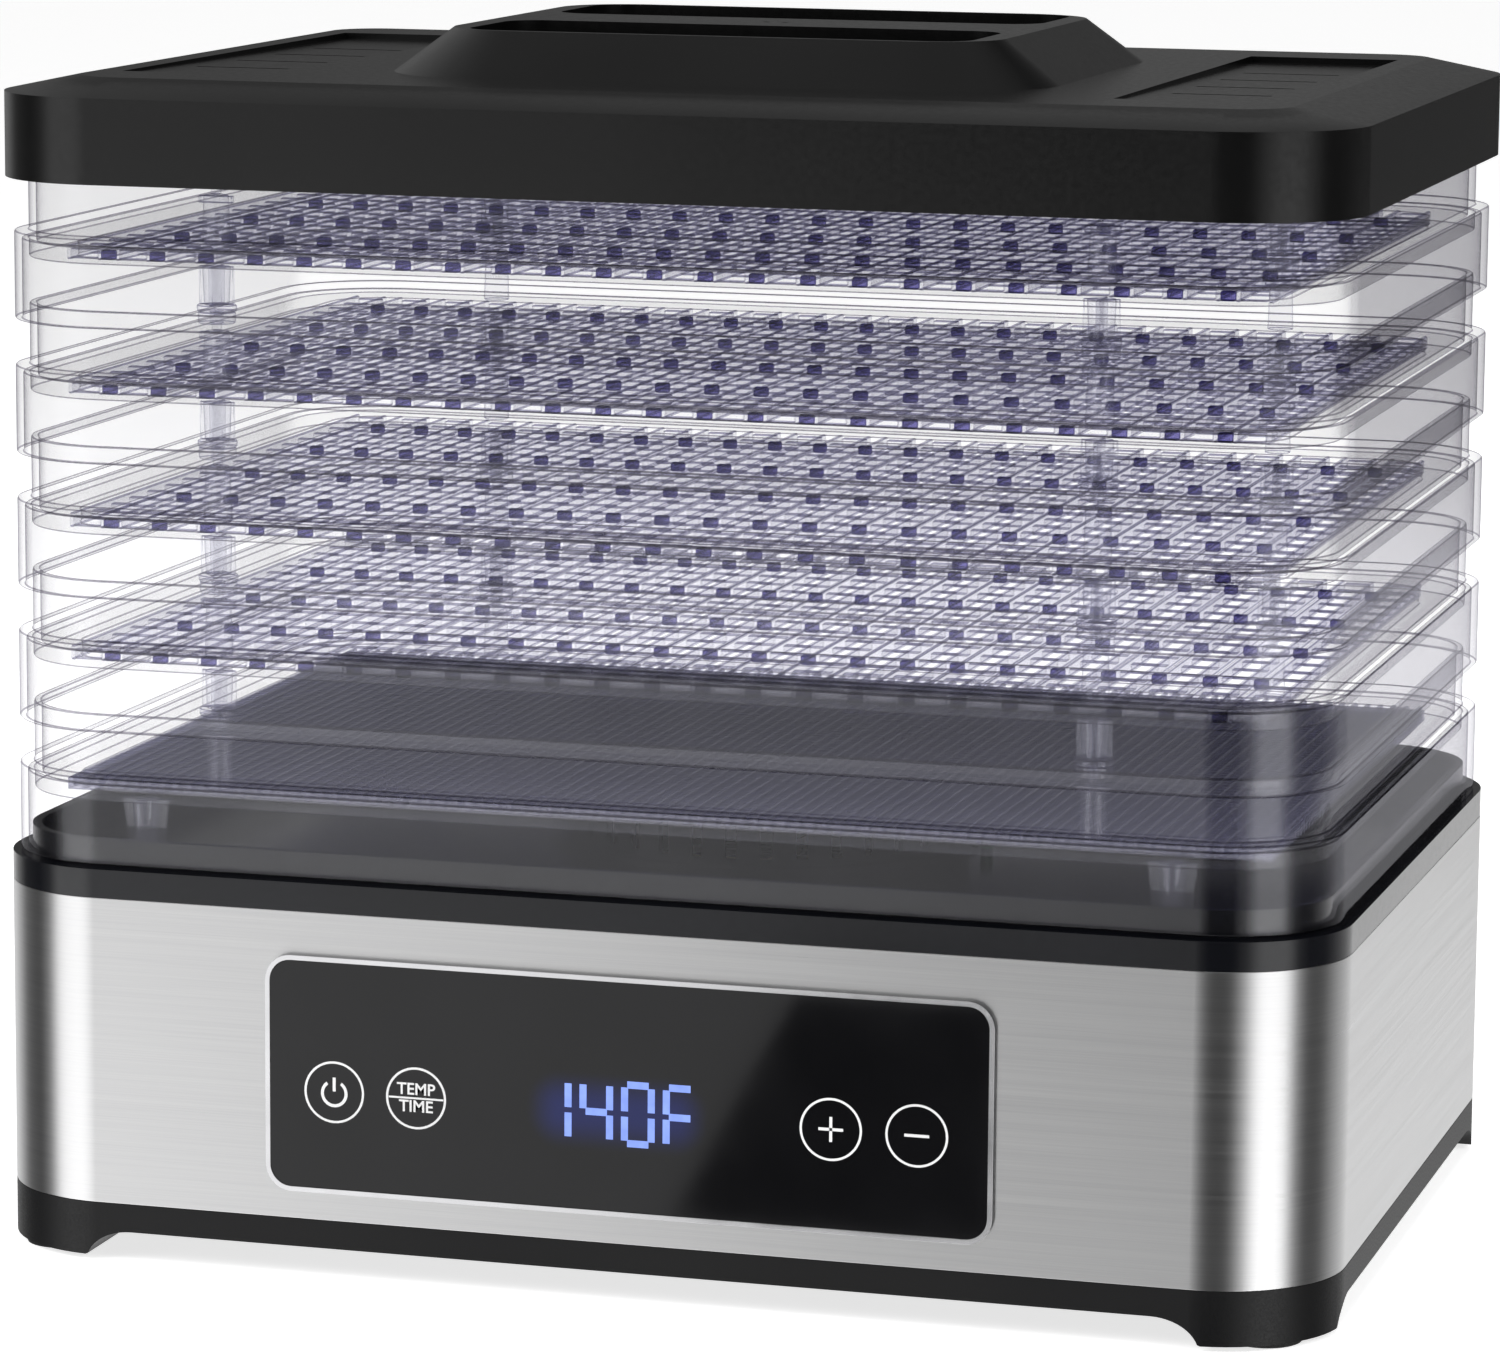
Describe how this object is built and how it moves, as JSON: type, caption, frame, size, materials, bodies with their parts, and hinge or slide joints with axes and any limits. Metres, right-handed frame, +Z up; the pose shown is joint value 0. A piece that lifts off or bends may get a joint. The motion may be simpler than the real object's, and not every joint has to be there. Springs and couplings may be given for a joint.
{
  "type": "food dehydrator",
  "caption": "Countertop food dehydrator: heated fan base with a touch panel, stacked clear mesh trays and a black lid with a grip.",
  "frame": {"origin": "on the standing surface, under the middle of the base", "axes": "+Z up, +X to the right along the width, -Y towards the control panel at the front"},
  "size_m": [0.333, 0.2428, 0.297],
  "materials": {
    "black_shell": "fine satin",
    "foot_rubber": "matte",
    "brushed_wrap": "brushed along the band",
    "black_deck": "glossy",
    "lid_black": "semi-gloss",
    "clear_tray": "clear",
    "clear_mesh": "clear",
    "bezel_chrome": "polished",
    "panel_black": "glossy",
    "display_body": "dark",
    "circuit_board": "solder mask",
    "component_black": "matte",
    "spring_gold": "bare",
    "sheet_metal": "plain",
    "screw_steel": "plain",
    "lamination": "varnished",
    "copper": "enamelled wire",
    "fan_alloy": "pressed",
    "mica": "plain",
    "heater_wire": "oxidised",
    "sensor_resin": "epoxy",
    "white_plastic": "plain",
    "lead_insulation": "plain"
  },
  "bodies": {
    "base": {"bottom_housing": "black_shell", "foot_pads": "foot_rubber", "steel_wrap": "brushed_wrap", "top_deck": "black_deck", "diffuser_drum": "black_deck", "drum_cap": "black_deck", "air_duct": "sheet_metal", "duct_screws": "screw_steel", "heater_frame": "mica", "heater_coil": "heater_wire", "thermal_cutoff": "white_plastic", "temperature_sensor": "sensor_resin", "motor_bracket": "sheet_metal", "bracket_screws": "screw_steel", "motor_stator": "lamination", "motor_winding": "copper", "bearing_bridge": "sheet_metal", "panel_bezel": "bezel_chrome", "panel_lens": "panel_black", "display_module": "display_body", "control_board": "circuit_board", "touch_springs": "spring_gold", "board_screws": "screw_steel", "power_board": "circuit_board", "board_parts": "component_black", "power_board_screws": "screw_steel", "terminal_block": "white_plastic", "wiring": "lead_insulation", "cord_gland": "foot_rubber", "housing_screws": "screw_steel"},
    "fan": {"motor_rotor": "lamination", "motor_shaft": "screw_steel", "fan_impeller": "fan_alloy", "impeller_clip": "screw_steel"},
    "tray_1_body": {"tray_1": "clear_tray", "tray_1_posts": "clear_tray", "tray_1_mesh": "clear_mesh"},
    "tray_2_body": {"tray_2": "clear_tray", "tray_2_posts": "clear_tray", "tray_2_mesh": "clear_mesh"},
    "tray_3_body": {"tray_3": "clear_tray", "tray_3_posts": "clear_tray", "tray_3_mesh": "clear_mesh"},
    "tray_4_body": {"tray_4": "clear_tray", "tray_4_posts": "clear_tray", "tray_4_mesh": "clear_mesh"},
    "tray_5_body": {"tray_5": "clear_tray", "tray_5_posts": "clear_tray", "tray_5_mesh": "clear_mesh"},
    "lid_body": {"lid": "lid_black", "lid_grip": "lid_black"}
  },
  "joints": [
    {"name": "fan_spin", "type": "hinge", "parent": "base", "child": "fan", "pos_m": [0, 0, 0.06], "axis": [0, 0, 1], "continuous": true},
    {"name": "tray_1_lift", "type": "slide", "parent": "base", "child": "tray_1_body", "axis": [0, 0, 1], "range_m": [0, 0.06]},
    {"name": "tray_2_lift", "type": "slide", "parent": "tray_1_body", "child": "tray_2_body", "axis": [0, 0, 1], "range_m": [0, 0.06]},
    {"name": "tray_3_lift", "type": "slide", "parent": "tray_2_body", "child": "tray_3_body", "axis": [0, 0, 1], "range_m": [0, 0.06]},
    {"name": "tray_4_lift", "type": "slide", "parent": "tray_3_body", "child": "tray_4_body", "axis": [0, 0, 1], "range_m": [0, 0.06]},
    {"name": "tray_5_lift", "type": "slide", "parent": "tray_4_body", "child": "tray_5_body", "axis": [0, 0, 1], "range_m": [0, 0.06]},
    {"name": "lid_lift", "type": "slide", "parent": "tray_5_body", "child": "lid_body", "axis": [0, 0, 1], "range_m": [0, 0.06]}
  ]
}
